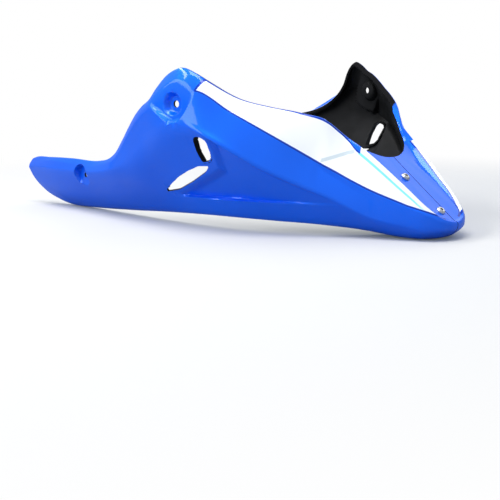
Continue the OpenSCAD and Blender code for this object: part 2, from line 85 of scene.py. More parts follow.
right_lines = dict(
    mouth=guide([[500, 60, 125], [511, 54, 116], [520, 48, 107], [528, 42, 100]], mouth_nose),
    foot=guide([[500, 63, 128], [511, 55, 117], [520, 50, 109], [528, 45, 102]], foot_nose),
    rim=guide([[0, 147, 60], [6, 148, 65], [16, 149, 68], [60, 153, 71], [120, 157, 73], [189, 161, 74],
               [212, 164, 78], [229, 166, 86], [248, 168, 104], [267, 171, 123], [285, 174, 139],
               [300, 176, 149], [313, 177, 156], [326, 174, 172], [340, 170, 186], [352, 168, 192],
               [362, 167, 194], [383, 163, 187], [394, 156, 179], [424, 131, 157], [450, 110, 148],
               [477, 88, 141], [502, 68, 131], [512, 59, 120], [520, 54, 112], [532, 52, 105]], rim_nose),
    facet=guide([[0, 149, 57], [60, 156, 66], [189, 164, 68], [229, 169, 78], [267, 174, 112],
                 [300, 180, 138], [326, 183, 152], [362, 183, 166], [389, 170, 168], [424, 149, 144],
                 [464, 123, 117], [503, 88, 86]], facet_nose),
    recess_top=guide([[0, 150, 54], [60, 158, 52], [150, 163, 54], [229, 170, 62], [280, 174, 72]],
                     recess_top_front),
    recess_low=guide([[0, 150, 51], [24, 148, 34], [60, 146, 24], [150, 144, 24], [229, 145, 28]],
                     recess_low_front),
    edge=guide([[0, 148, 48], [6, 147, 38], [24, 139, 18], [50, 132, 6], [73, 128, 0.7], [92, 126, -0.3],
                [120, 127, 0.7]], edge_front))
left_lines = dict(
    mouth=guide([[500, 58, 137], [511, 51, 125.6], [520, 45, 114.6], [528, 41.5, 103]], mouth_nose),
    foot=guide([[500, 61, 140], [511, 52.5, 127.6], [520, 46.4, 117.6], [528, 44.5, 106.4]], foot_nose),
    rim=guide([[73, 153, 52], [81, 154, 60], [111, 156, 83], [131, 158, 103], [141, 159, 115],
               [149, 160, 120], [160, 161, 119], [181, 163, 116], [215, 166, 118], [248, 169, 125],
               [272, 171, 130], [290, 172, 136], [310, 173, 147], [326, 173, 160.8], [336, 172, 173],
               [345, 170, 190], [351, 169, 198], [358, 168, 201], [366, 167, 198], [383, 162, 188],
               [394, 155, 185], [424, 131, 176], [450, 110, 166], [477, 88, 156], [502, 66, 143],
               [512, 57, 131], [520, 52, 120], [532, 51, 108]], rim_nose),
    facet=guide([[73, 155, 49], [111, 158, 74], [149, 162, 108], [181, 166, 108], [215, 169, 110],
                 [248, 173, 120], [280, 178, 138], [303, 182, 152], [343, 183.4, 168], [389, 170, 166],
                 [424, 149, 144], [464, 123, 117], [503, 88, 86]], facet_nose),
    recess_top=guide([[73, 156, 46], [111, 159, 56], [149, 163, 70], [229, 170, 78], [280, 174, 84]],
                     recess_top_front),
    recess_low=guide([[73, 156, 43], [95, 152, 38], [150, 148, 32], [229, 146, 30]], recess_low_front),
    edge=guide([[73, 153, 40], [85, 147, 30], [105, 140, 22], [160, 133, 16]], edge_front))


def ramp(v, low, high):
    """0 below low, 1 above high, and the smooth cubic 3t^2 - 2t^3 between them."""
    t = np.clip((v - low) / (high - low), 0, 1)
    return t * t * (3 - 2 * t)


def section(corners, rounds, sides, bend=5):
    """Rows of a section. Each inner corner becomes a quadratic Bezier arc that starts and ends its rounding
    length away from the corner, at most 0.45 of the side; the straight sides are divided evenly."""
    back, ahead = corners[:, :-2] - corners[:, 1:-1], corners[:, 2:] - corners[:, 1:-1]
    lb, la = (np.linalg.norm(v, axis=-1, keepdims=True) for v in (back, ahead))
    p, r = corners[:, 1:-1], rounds[:, 1:-1, None]
    u = p + back / lb * np.minimum(r, 0.45 * lb)
    v = p + ahead / la * np.minimum(r, 0.45 * la)
    t = np.linspace(0, 1, bend + 1)[None, :, None]
    rows, start = [], corners[:, :1]
    for k in range(p.shape[1]):
        step = (np.arange(sides[k]) / sides[k])[None, :, None]
        rows.append(start + (u[:, k:k + 1] - start) * step)
        a, m, b = u[:, k:k + 1], p[:, k:k + 1], v[:, k:k + 1]
        rows.append(((1 - t)**2 * a + 2 * t * (1 - t) * m + t**2 * b)[:, :-1])
        start = b
    step = (np.arange(sides[-1] + 1) / sides[-1])[None, :, None]
    rows.append(start + (corners[:, -1:] - start) * step)
    return np.concatenate(rows, 1)


def side_distance(x, z, line):
    """Distance in the side view to an open line of points, above zero on its lower side."""
    a, b = np.array(line[:-1], float), np.array(line[1:], float)
    q = np.stack([x, z], -1)[..., None, :]
    t = np.clip(((q - a) * (b - a)).sum(-1) / ((b - a)**2).sum(-1), 0, 1)
    gap = q - (a + t[..., None] * (b - a))
    d = np.linalg.norm(gap, axis=-1)
    k = d.argmin(-1)
    across = (b - a)[:, 0] * gap[..., 1] - (b - a)[:, 1] * gap[..., 0]
    away = np.take_along_axis(across, k[..., None], -1)[..., 0]
    return -np.sign(away) * d.min(-1)


def outline_distance(x, z, points):
    """Distance in the side view to a closed outline, above zero inside it."""
    a = np.array(points, float)
    b = np.roll(a, -1, 0)
    q = np.stack([x, z], -1)[..., None, :]
    t = np.clip(((q - a) * (b - a)).sum(-1) / ((b - a)**2).sum(-1), 0, 1)
    d = np.linalg.norm(q - (a + t[..., None] * (b - a)), axis=-1).min(-1)
    above = (a[:, 1] > z[..., None]) != (b[:, 1] > z[..., None])
    run = (b[:, 0] - a[:, 0]) * (z[..., None] - a[:, 1])
    cross = x[..., None] < run / (b[:, 1] - a[:, 1] + 1e-12) + a[:, 0]
    return np.where((above & cross).sum(-1) % 2 == 1, d, -d)


def smooth_outline(points, reach=3.0, arc=5):
    """Closed outline with each corner turned into a quadratic Bezier arc that starts reach away from it."""
    p = np.array(points, float)
    back, ahead = np.roll(p, 1, 0) - p, np.roll(p, -1, 0) - p
    lb, la = (np.linalg.norm(v, axis=1, keepdims=True) for v in (back, ahead))
    u, v = p + back / lb * np.minimum(reach, 0.45 * lb), p + ahead / la * np.minimum(reach, 0.45 * la)
    t = np.linspace(0, 1, arc)[None, :, None]
    return ((1 - t)**2 * u[:, None] + 2 * t * (1 - t) * p[:, None] + t**2 * v[:, None]).reshape(-1, 2)


recess_lip = [[372, 131], [389, 124], [403, 118], [416, 111], [425, 105], [457, 80], [494, 58], [529, 41],
              [560, 30]]
recess_rear_wall = [[407, 60], [407, 81], [410, 96], [409, 111], [404, 128]]
recess_slant = [[290, 34], [307, 38], [331, 43], [354, 54], [396, 73], [412, 81], [430, 90]]
RECESS_LOW, RECESS_DEPTH, RECESS_REAR, RECESS_END, RECESS_TIP = 38.0, 7.0, 300.0, 409.0, 532.0

window = smooth_outline([[386, 97], [387, 83], [398, 85], [405, 91], [408.5, 109], [405, 112.5], [395, 115],
                         [389, 111]])
slot = smooth_outline([[305, 40.5], [320, 51], [340, 62.5], [360, 71.5], [378, 78], [394, 79], [385, 71],
                       [356, 56], [331, 45.5]], reach=2.5)


def recessed(p):
    """Moves the surface in by the depth of the recess, which grows to its rear wall and runs out at the
    tip."""
    x, z = p[..., 0], p[..., 2]
    below = side_distance(x, z, recess_lip)
    front = side_distance(x, z, recess_rear_wall)
    under = side_distance(x, z, recess_slant)
    depth = RECESS_DEPTH * np.where(x < RECESS_END, np.clip((x - RECESS_REAR) / 60, 0, 1),
                                    np.clip((RECESS_TIP - x) / (RECESS_TIP - RECESS_END), 0, 1))
    share = np.minimum(ramp(below, -0.5, 2.8), ramp(z, RECESS_LOW - 1.5, RECESS_LOW + 1.5))
    share = share * np.maximum(ramp(front, 0, 4.5), ramp(under, 0, 8)) * (x > RECESS_REAR)
    ridge = 1.6 * np.exp(-((below + 2) / 3.5)**2) * ramp(x, 380, 392) * (1 - ramp(x, 405, 470))
    p[..., 1] += (ridge - depth * share) * (p[..., 1] > 20)
    return p


def axis_frame(mount):
    """Centre and outward direction of a bolt mount, on the side where w grows outwards."""
    t = np.radians(mount["toe_in"])
    return np.array([mount["x"], mount["w"], mount["z"]]), np.array([np.sin(t), np.cos(t), 0])


def cupped(p, mount):
    """Lays the pocket floor square to the bolt, blended in at its outline, and sinks a conical cup to
    the seat."""
    centre, out = axis_frame(mount)
    near = (np.abs(p[..., 0] - mount["x"]) < 90) & (p[..., 2] > mount["z"] - 45)
    off = p - centre
    height = off @ out
    if "pocket" in mount:
        inside = outline_distance(p[..., 0], p[..., 2], mount["pocket"])
        share = ramp(inside, -mount["wall_run"] / 2, mount["wall_run"] / 2)
        over = height - mount["depth"]
        drop = share * (np.sqrt(over**2 + 1.2) + over) / 2
        p[..., 1] -= np.where(near, drop / out[1], 0)
        off = p - centre
        height = off @ out
    radius = np.linalg.norm(off - height[..., None] * out, axis=-1)
    seat, mouth = mount["seat_d"] / 2, mount["mouth_d"] / 2
    cone = mount["depth"] * np.clip((radius - seat) / (mouth - seat), 0, 1)
    cone = np.where(radius < mouth + 1.2, cone, 1e3)
    p[..., 1] -= np.where(near, np.clip(height - cone, 0, None) / out[1], 0)
    return p


strip_slope = np.arctan2(66, 82)
along_strip = np.array([np.cos(strip_slope), 0, -np.sin(strip_slope)])
out_of_strip = np.array([np.sin(strip_slope), 0, np.cos(strip_slope)])
SEAM_TOP = np.array([544.0, 0, 87])
screw_spots = [SEAM_TOP + 33 * along_strip + [0, 13.5 - SEAM_GAP / 2, 0],
               SEAM_TOP + 89 * along_strip + [0, 8 - SEAM_GAP / 2, 0]]
HEAD_D = 10.5


def spot_faced(p):
    """Levels a round spot under each screw head with the plane of the strip."""
    for centre in screw_spots:
        off = p - centre
        height = off @ out_of_strip
        radius = np.linalg.norm(off - height[..., None] * out_of_strip, axis=-1)
        share = (1 - ramp(radius, HEAD_D / 2 + 0.4, HEAD_D / 2 + 1.6)) * (np.abs(height) < 6)
        p -= (share * height)[..., None] * out_of_strip
    return p


def grid_normals(g, passes=3):
    """Unit normals of a grid: the cross product of the differences along its two directions, pointing out,
    each then averaged with its neighbours a few times. At the first and last column they stay in the end
    plane."""
    n = np.cross(np.gradient(g, axis=0), np.gradient(g, axis=1))
    n /= np.maximum(np.linalg.norm(n, axis=-1, keepdims=True), 1e-9)
    for _ in range(passes):
        for axis in (0, 1):
            n = np.moveaxis(n, axis, 0)
            n[1:-1] = (n[:-2] + 2 * n[1:-1] + n[2:]) / 4
            n = np.moveaxis(n, 0, axis)
    n[0, :, 0] = 0
    n[-1, :, 1] = 0
    return n / np.maximum(np.linalg.norm(n, axis=-1, keepdims=True), 1e-9)


def spaced(*stretches):
    """Stations of the columns: each stretch is (start, end, step)."""
    return np.concatenate([np.arange(a, b - 1e-6, c) for a, b, c in stretches] + [[stretches[-1][1]]])


def shell_grid(lines, mounts, s):
    """Outer surface of one side at the stations s, and the lines of its rim and crease, in millimetres."""
    rim, crease, top, low, edge = (lines[k](s) for k in ("rim", "facet", "recess_top", "recess_low", "edge"))
    front = (s >= PIVOT)[:, None]
    fold = np.clip((rim[:, 2:] - edge[:, 2:]) / 12 - 1, 0, 1)
    lip = np.where(front, lines["mouth"](s), rim + fold * [0, 0, -5.4] + [0, -9, 0])
    foot = np.where(front, lines["foot"](s), rim + fold * [0, 0, -1.35] + [0, -4.5, 0])
    under = np.where(front, belly(s), edge + fold * [0, 0, 1.35] + [0, -9, 0])
    turn = np.radians(np.clip(s - PIVOT, 0, None))
    step = (4 * np.clip((s - 500) / 6, 0, 1) * np.clip((588 - s) / 20, 0, 1))[:, None]
    crease = crease + 0.4 * step * np.stack([np.sin(turn), np.cos(turn), 0 * s], -1)
    stepped = np.clip(step / 2, 0, 1)
    below = stepped * (crease + (step + 2) * [0, 0, -1]) + (1 - stepped) * (crease + (top - crease) / 4)
    corners = np.stack([lip, foot, rim, crease, below, top, low, edge, under], 1)
    rim_round = np.interp(s, [300, 330, 385, 400, 480, 520], [3, 9, 9, 4, 4, 2])
    crease_round = np.interp(s, [300, 380, 440, 500, 506], [14, 11, 7, 3, 1.2])
    lip_round = np.interp(s, [350, 410], [20, 4])
    step_round = np.interp(s, [495, 506], [6, 1.5])
    low_round = np.interp(s, [300, 340, 520, 540], [24, 4, 4, 10])
    rounds = np.stack([0 * s, 2 + 0 * s, rim_round, crease_round, step_round, lip_round, low_round, 8 + 0 * s,
                       0 * s], 1)
    g = section(corners, rounds, [4, 3, 16, 2, 28, 34, 9, 3], bend=6)
    g = recessed(g)
    for mount in mounts:
        g = cupped(g, mount)
    return g, rim, crease


SIDE_VIEW = np.array([[1.0, 0, 0], [0, 0, 1]])
STRIP_VIEW = np.array([along_strip, [0, 1.0, 0]])


def holed(g, holes):
    """Drops the faces of the grid inside each hole and moves the rim of the hole onto its outline. A hole is
    an outline, the two axes that it is drawn on, and the direction and least distance of the faces that it
    cuts."""
    n, m = g.shape[:2]
    k = np.arange(n * m).reshape(n, m)
    faces = np.stack([k[:-1, :-1], k[:-1, 1:], k[1:, 1:], k[1:, :-1]], -1).reshape(-1, 4)
    flat = g.reshape(-1, 3)
    for points, view, out, least in holes:
        a = np.array(points, float)
        b = np.roll(a, -1, 0)
        centre = flat[faces].mean(1)
        keep = (outline_distance(*(centre @ view.T).T, a) < 0) | (centre @ out < least)
        rim = np.intersect1d(faces[~keep], faces[keep])
        faces = faces[keep]
        q = (flat[rim] @ view.T)[:, None]
        t = np.clip(((q - a) * (b - a)).sum(-1) / ((b - a)**2).sum(-1), 0, 1)
        foot = a + t[..., None] * (b - a)
        nearest = np.linalg.norm(q - foot, axis=-1).argmin(1)
        flat[rim] += (foot[np.arange(len(rim)), nearest] - q[:, 0]) @ view
    return faces


def circle(x, z, d, n=40):
    """Closed outline of a round hole."""
    t = np.arange(n) / n * 2 * np.pi
    return np.stack([x + d / 2 * np.cos(t), z + d / 2 * np.sin(t)], -1)


def side_hole(points, least):
    """A hole that is drawn in the side view."""
    return points, SIDE_VIEW, np.array([0, 1.0, 0]), least


def strip_hole(spot, d):
    """A round hole through the strip at the nose."""
    return circle(*(STRIP_VIEW @ spot), d), STRIP_VIEW, out_of_strip, SEAM_TOP @ out_of_strip - 8


def slab(outline, low, high):
    """Closed plate on the strip between two heights: outline is [down the strip, to the side] from the top of
    the seam. Its two faces are fans of triangles round the middle."""
    ring = np.array(outline, float)
    n = len(ring)
    place = lambda q, h: SEAM_TOP + q[:, :1] * along_strip + q[:, 1:] * [0, 1, 0] + h * out_of_strip
    middle = ring.mean(0, keepdims=True)
    points = np.vstack([place(ring, high), place(ring, low), place(middle, high), place(middle, low)])
    k = np.arange(n)
    j = (k + 1) % n
    faces = [[2 * n, a, b] for a, b in zip(k, j)] + [[2 * n + 1, b + n, a + n] for a, b in zip(k, j)]
    return points, faces + [[b, a, a + n, b + n] for a, b in zip(k, j)]


def collar(g, points, sink=1.0, deep=8.0, thick=2.0):
    """Closed band round a hole of the side view, from just under the skin to its depth. The outer outline is
    the inner one moved out by the thickness along the mean of the normals of its two neighbouring edges."""
    ring = np.array(points, float)
    edge = np.roll(ring, -1, 0) - ring
    normal = np.stack([edge[:, 1], -edge[:, 0]], -1) / np.linalg.norm(edge, axis=1, keepdims=True)
    normal = normal + np.roll(normal, 1, 0)
    normal /= np.linalg.norm(normal, axis=1, keepdims=True)
    flat = g[g[..., 1] > 120]
    gap = np.linalg.norm(flat[None, :, [0, 2]] - ring[:, None], axis=-1)
    skin = flat[gap.argmin(1), 1]
    place = lambda q, depth: np.stack([q[:, 0], skin - depth, q[:, 1]], -1)
    wide = ring + thick * normal
    rows = [place(ring, sink), place(ring, deep), place(wide, deep), place(wide, sink)]
    n = len(ring)
    k = np.arange(4 * n).reshape(4, n)
    up, on = np.roll(k, -1, 0), np.roll(k, -1, 1)
    faces = np.stack([k, on, np.roll(up, -1, 1), up], -1).reshape(-1, 4)
    return np.vstack(rows), faces.tolist()


def side_shell(name, hand, lines, mounts, stations, holes, extra=()):
    """Closed wall between the outer surface and the same surface moved in along its normals. Vertices carry
    their distances from the rim and from the crease and their station, which the paint's outlines are drawn
    with."""
    g, rim, crease = shell_grid(lines, mounts, stations)
    if hand < 0:
        g = spot_faced(g)
    faces = holed(g, holes)
    inner = g - WALL * grid_normals(g)
    extra = [collar(g, window), *extra]
    n = g.shape[0] * g.shape[1]
    way = np.stack([faces, np.roll(faces, -1, 1)], -1).reshape(-1, 2)
    ends = np.sort(way, 1)
    _, first, count = np.unique(ends[:, 0] * n + ends[:, 1], return_index=True, return_counts=True)
    rim_edges = way[first[count == 1]]
    walls = np.stack([rim_edges[:, 1], rim_edges[:, 0], rim_edges[:, 0] + n, rim_edges[:, 1] + n], -1)
    quads = np.vstack([faces, faces[:, ::-1] + n, walls])
    row = np.arange(g.shape[1])
    from_rim = np.linalg.norm(g - rim[:, None], axis=-1)
    from_crease = np.linalg.norm(g - crease[:, None], axis=-1)
    from_rim = np.where(row < from_rim.argmin(1)[:, None], -from_rim, from_rim)
    from_crease = np.where(row > from_crease.argmin(1)[:, None], -from_crease, from_crease)
    station_of = np.broadcast_to(stations[:, None], from_rim.shape)
    points = np.vstack([g.reshape(-1, 3), inner.reshape(-1, 3)])
    used, quads = np.unique(quads, return_inverse=True)
    points, quads = points[used], quads.reshape(-1, 4).tolist()
    inside = [0] * len(faces) + [1] * (len(faces) + len(walls))
    for more, more_faces in extra:
        quads += [[len(points) + v for v in face] for face in more_faces]
        inside += [1] * len(more_faces)
        points = np.vstack([points, more])
    if hand > 0:
        quads = [face[::-1] for face in quads]
    points = (points + [-LENGTH / 2, SEAM_GAP / 2, 0]) * [1, hand, 1]
    mesh = bpy.data.meshes.new(name)
    mesh.from_pydata((points / 1000).tolist(), [], quads)
    for key, value in (("from_rim", from_rim), ("from_crease", from_crease), ("station", station_of)):
        full = np.zeros(len(points), np.float32)
        full[:len(used)] = np.concatenate([value.ravel()] * 2)[used]
        mesh.attributes.new(key, "FLOAT", "POINT").data.foreach_set("value", full)
    mesh.polygons.foreach_set("material_index", inside)
    mesh.polygons.foreach_set("use_smooth", [True] * len(quads))
    mesh.set_sharp_from_angle(angle=np.radians(38))
    piece = bpy.data.objects.new(name, mesh)
    bpy.context.scene.collection.objects.link(piece)
    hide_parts(name.replace("_shell", "_side_shell"))
    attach(piece, "root")
    return piece


right_pocket = smooth_outline([[290, 166], [300, 160], [321, 150.5], [343, 138], [357, 130], [367, 130.5],
                               [374, 135], [381, 144], [392, 176], [392, 215], [290, 215]], reach=8)
left_pocket = smooth_outline([[364, 189], [351.5, 149], [354, 143], [381, 129], [387, 131], [404, 166],
                              [402, 171], [371, 190]], reach=5)
right_upper = dict(x=356, w=169.5, z=151, toe_in=8, depth=7, seat_d=20, mouth_d=27, wall_run=3.0,
                   pocket=right_pocket)
left_upper = dict(x=381, w=163.5, z=160, toe_in=8, depth=7, seat_d=20, mouth_d=27, wall_run=3.0,
                  pocket=left_pocket)
right_tail = dict(x=146, w=152.3, z=51, toe_in=0, depth=30, seat_d=28.5, mouth_d=33, wall_run=2)
left_tail = dict(x=155, w=153.1, z=64, toe_in=0, depth=30, seat_d=28.5, mouth_d=33, wall_run=2)
UPPER_BOLT_D, TAIL_BOLT_D, SCREW_HOLE_D = 8.5, 6.5, 6.6
front_columns = ((300, 412, 1.3), (412, 500, 2.2), (500, 590, 1.25))
joining_flange = slab([[22, 0], [22, -12], [92, -12], [96, 0], [96, 13.8], [84, 13.8], [58, 21], [22, 21]],
                      low=-6.6, high=-3.6)


def side_holes(upper, tail):
    """The window, the slot and the two bolt holes of one side."""
    return [side_hole(window, 120), side_hole(slot, 100),
            side_hole(circle(upper["x"], upper["z"], UPPER_BOLT_D), 120),
            side_hole(circle(tail["x"], tail["z"], TAIL_BOLT_D), 100)]


right_shell = side_shell(
    "right_shell", -1, right_lines, [right_upper, right_tail],
    spaced((0, 12, 1.5), (12, 126, 4), (126, 166, 1.4), (166, 300, 4), *front_columns),
    side_holes(right_upper, right_tail) + [strip_hole(spot, SCREW_HOLE_D) for spot in screw_spots])
left_shell = side_shell(
    "left_shell", 1, left_lines, [left_upper, left_tail],
    spaced((73, 88, 1.5), (88, 136, 3.5), (136, 174, 1.4), (174, 300, 4), *front_columns),
    side_holes(left_upper, left_tail),
    extra=[(joining_flange[0] * [1, -1, 1] + [0, -SEAM_GAP / 2, 0], joining_flange[1])])


class Shader:
    """One output of a node. Operators on it add Math nodes."""

    def __init__(self, tree, socket):
        self.tree, self.socket = tree, socket

    def math(self, operation, *values):
        return add_node(self.tree, "ShaderNodeMath", dict(operation=operation),
                        **{f"_{k}": value for k, value in enumerate(values)})

    def __add__(self, other): return self.math("ADD", self, other)
    def __sub__(self, other): return self.math("SUBTRACT", self, other)
    def __rsub__(self, other): return self.math("SUBTRACT", other, self)
    def __mul__(self, other): return self.math("MULTIPLY", self, other)
    def __truediv__(self, other): return self.math("DIVIDE", self, other)
    __radd__, __rmul__ = __add__, __mul__

    def least(self, other): return self.math("MINIMUM", self, other)
    def most(self, other): return self.math("MAXIMUM", self, other)
    def size(self): return self.math("ABSOLUTE", self)

    def step(self, low, high):
        """0 up to low, 1 from high on, and a smooth passage between them."""
        return add_node(self.tree, "ShaderNodeMapRange", dict(interpolation_type="SMOOTHSTEP"),
                        _0=self, _1=low, _2=high)

    def blend(self, a, b):
        """Colour a where this is 0, colour b where it is 1."""
        return add_node(self.tree, "ShaderNodeMix", dict(data_type="RGBA", take="Result"),
                        _0=self, _6=a, _7=b)


def add_node(tree, kind, settings=None, **inputs):
    """Adds a node with its settings, then the values or links of its sockets, by name or by number as _0, _1.
    Returns its first output, or the one that take names."""
    node = tree.nodes.new(kind)
    settings = dict(settings or {})
    take, stops = settings.pop("take", None), settings.pop("stops", None)
    for key, value in settings.items():
        setattr(node, key, value)
    if stops:
        while len(node.color_ramp.elements) < len(stops):
            node.color_ramp.elements.new(0.5)
        for element, (position, colour) in zip(node.color_ramp.elements, stops):
            element.position, element.color = position, colour
    for key, value in inputs.items():
        socket = node.inputs[int(key[1:]) if key[0] == "_" else key.replace("_", " ")]
        if isinstance(value, Shader):
            tree.links.new(value.socket, socket)
        else:
            socket.default_value = value
    outputs = [o for o in node.outputs if o.enabled and take in (None, o.name)]
    return Shader(tree, outputs[0]) if outputs else None


def new_material(name):
    """An empty material, and its node tree."""
    material = bpy.data.materials.new(name)
    material.use_nodes = True
    material.node_tree.nodes.clear()
    return material, material.node_tree


def finish_material(tree, surface):
    """Links a surface to the output of the material."""
    add_node(tree, "ShaderNodeOutputMaterial", _0=surface)


def at_stations(tree, station, *stops):
    """A number that follows the station: stops are (station, number), joined by straight lines."""
    low, high = stops[0][0], stops[-1][0]
    values = [v for _, v in stops]
    base, span = min(values), max(values) - min(values)
    grey = lambda v: ((v - base) / span,) * 3 + (1,)
    marks = [((p - low) / (high - low), grey(v)) for p, v in stops]
    share = add_node(tree, "ShaderNodeValToRGB", dict(stops=marks), Fac=(station - low) / (high - low))
    return share * span + base


def gloss_paint():
    """Metallic blue under clear lacquer. The white field of the upper facet, its light-blue stripe and the
    bare black edge where the rim turns in are drawn by distances from the rim and the crease in millimetres,
    and so
    are two marks of painted shade: a dark-blue line round the field, where its rounded rim and crease fall
    dark, and a grey band across it, where the field bends."""
    material, tree = new_material("blue_and_white_lacquer")
    rim, crease, at = (add_node(tree, "ShaderNodeAttribute", dict(attribute_name=key, take="Fac"))
                       for key in ("from_rim", "from_crease", "station"))
    place = add_node(tree, "ShaderNodeTexCoord", dict(take="Object"))
    border = at_stations(tree, at, (390, 1.6), (411, 1.3), (460, 1.4), (476, 2.2), (500, 3.0), (516, 3.2),
                         (523, 4.8), (527, 7.7), (531, 9.8), (534.5, 9.8), (536, -4))
    lower = at_stations(tree, at, (390, 0.2), (500, 0.6), (516, 2.6), (535, 3.6), (565, 3.6), (573, 6),
                        (583, 9))
    rear = at - 390.4 - 4 * crease / (crease.size() + rim.size() + 0.1)
    field = (rim - border).least(crease - lower).least(rear).least(582 - at)
    white = field.step(-0.3, 0.3)
    stripe_line = at_stations(tree, at, (532, 9.2), (545, 10.4), (558, 11.6), (566, 12.4), (575, 11))
    stripe = (1 - (rim - stripe_line).size().step(1.7, 2.3)) * at.step(532, 533) * (1 - at.step(568, 576))
    # Painted shade: the grey band across the white field, where the field bends and faces another way.
    bend_shade_line = at_stations(tree, at, (504, 3.6), (509.3, 12.4), (516, 22.8), (522.5, 31.6), (529, 38))
    band = (1 - (crease - bend_shade_line).size().step(1.9, 2.9)) * at.step(503.5, 504.5)
    band = band * (1 - at.step(528.5, 529.5))
    flakes = add_node(tree, "ShaderNodeTexNoise", dict(take="Fac"), Vector=place, Scale=2400.0, Detail=2.0)
    drift = add_node(tree, "ShaderNodeTexNoise", dict(take="Fac"), Vector=place, Scale=9.0, Detail=1.0)
    blue = (drift * 0.6 + flakes * 0.4).step(0.3, 0.7).blend((0.003, 0.112, 0.78, 1), (0.005, 0.138, 0.88, 1))
    colour = white.blend(blue, (0.86, 0.87, 0.88, 1))
    colour = (white * stripe).blend(colour, (0.22, 0.74, 0.90, 1))
    colour = (white * band).blend(colour, (0.58, 0.65, 0.68, 1))
    # Painted shade: a dark-blue line just outside the white field, where the rounded rim and the crease fall
    # dark.
    painted_edge_shade = field.step(-2.7, -2.1) * (1 - field.step(-0.5, -0.1)) * at.step(386, 389)
    colour = (painted_edge_shade * 0.85).blend(colour, (0.003, 0.018, 0.24, 1))
    bare = (0 - rim).step(1.2, 2.2) * (1 - at.step(494, 498))
    colour = bare.blend(colour, (0.010, 0.010, 0.011, 1))
    peel = add_node(tree, "ShaderNodeTexNoise", dict(take="Fac"), Vector=place, Scale=330.0, Detail=1.0)
    bump = add_node(tree, "ShaderNodeBump", Strength=0.04, Distance=0.0002, Height=peel)
    finish_material(tree, add_node(
        tree, "ShaderNodeBsdfPrincipled", Base_Color=colour, Metallic=0.35 * (1 - white.most(bare)),
        Roughness=0.34 + flakes * 0.12, Normal=bump, Coat_Weight=0.7 * (1 - bare), Coat_Roughness=0.07,
        IOR=1.5, Specular_IOR_Level=0.0))
    return material


def satin_black():
    """Bare moulded plastic on the inside and on the cut edges: black, with a fine grain."""
    material, tree = new_material("satin_black_plastic")
    place = add_node(tree, "ShaderNodeTexCoord", dict(take="Object"))
    grain = add_node(tree, "ShaderNodeTexNoise", dict(take="Fac"), Vector=place, Scale=1500.0, Detail=3.0)
    cloud = add_node(tree, "ShaderNodeTexNoise", dict(take="Fac"), Vector=place, Scale=22.0, Detail=3.0)
    colour = cloud.step(0.3, 0.7).blend((0.006, 0.006, 0.006, 1), (0.013, 0.013, 0.014, 1))
    bump = add_node(tree, "ShaderNodeBump", Strength=0.35, Distance=0.0001, Height=grain)
    finish_material(tree, add_node(
        tree, "ShaderNodeBsdfPrincipled", Base_Color=colour, Roughness=0.42 + cloud * 0.14, Normal=bump,
        IOR=1.5, Specular_IOR_Level=0.08))
    return material


paint, plastic = gloss_paint(), satin_black()
for shell in (right_shell, left_shell):
    shell.data.materials.append(paint)
    shell.data.materials.append(plastic)


# The two nose screws: stainless button-head machine screws with a hexagon socket. They go through the right
# shell and the joining flange of the left one into the clip nuts.

THREAD_D, PITCH, SCREW_LENGTH, HEAD_H, SOCKET_AF, SOCKET_DEPTH = 6.0, 1.0, 16.0, 3.3, 4.0, 2.0


def turned(radius, height):
    """Closed body round an axis: grids of radius and height over profile rows and angle columns, with a point
    at the middle of each end. Points are [across, across, up] in millimetres."""
    rows, n = radius.shape
    t = np.arange(n) / n * 2 * np.pi
    body = np.stack([radius * np.cos(t), radius * np.sin(t), height], -1).reshape(-1, 3)
    points = np.vstack([body, [[0, 0, height[0].mean()], [0, 0, height[-1].mean()]]])
    k = np.arange(rows * n).reshape(rows, n)
    j = np.roll(k, -1, 1)
    faces = np.stack([k[:-1], k[1:], j[1:], j[:-1]], -1).reshape(-1, 4).tolist()
    faces += [[rows * n, a, b] for a, b in zip(k[0], j[0])]
    faces += [[rows * n + 1, b, a] for a, b in zip(k[-1], j[-1])]
    return points, faces


def screw_body():
    """Rows of the screw from the bottom of the socket to the tip. Across the flats the socket has the radius
    of a hexagon, half its width over the cosine of the angle from the nearest flat; the head is an elliptic
    dome; the thread is a triangle wave that runs along the shank by one pitch each turn."""
    n = 72
    t = np.arange(n) / n * 2 * np.pi
    hexagon = SOCKET_AF / 2 / np.cos((t + np.pi / 6) % (np.pi / 3) - np.pi / 6)
    rows = [(hexagon * share, HEAD_H - SOCKET_DEPTH - 0.4 * (1 - share)) for share in (0.05, 0.4, 0.75, 1.0)]
    rows += [(hexagon, HEAD_H - SOCKET_DEPTH * (1 - share)) for share in (0.3, 0.6, 0.85)]
    rows += [(hexagon + 0.15, HEAD_H - 0.02), (hexagon * 0 + 2.75, HEAD_H)]
    a = np.linspace(0.12, 1, 12) * np.pi / 2
    rows += [(2.75 + (HEAD_D / 2 - 2.75) * np.sin(v) + 0 * t, 0.5 + (HEAD_H - 0.5) * np.cos(v)) for v in a]
    rows += [(HEAD_D / 2 + 0 * t, 0.2), (HEAD_D / 2 - 0.2 + 0 * t, 0.0), (THREAD_D / 2 + 0 * t, 0.0)]
    for z in np.arange(-0.5, -SCREW_LENGTH + 0.8, -0.125):
        wave = np.abs((z / PITCH - t / (2 * np.pi)) % 1 * 2 - 1)
        rows.append((THREAD_D / 2 - 0.3 + 0.3 * wave, z))
    rows += [(THREAD_D / 2 - 0.8 + 0 * t, -SCREW_LENGTH + 0.3), (THREAD_D / 2 - 1.2 + 0 * t, -SCREW_LENGTH)]
    radius = np.stack([r for r, _ in rows])
    height = np.stack([z + 0 * t for _, z in rows])
    return turned(radius, height)


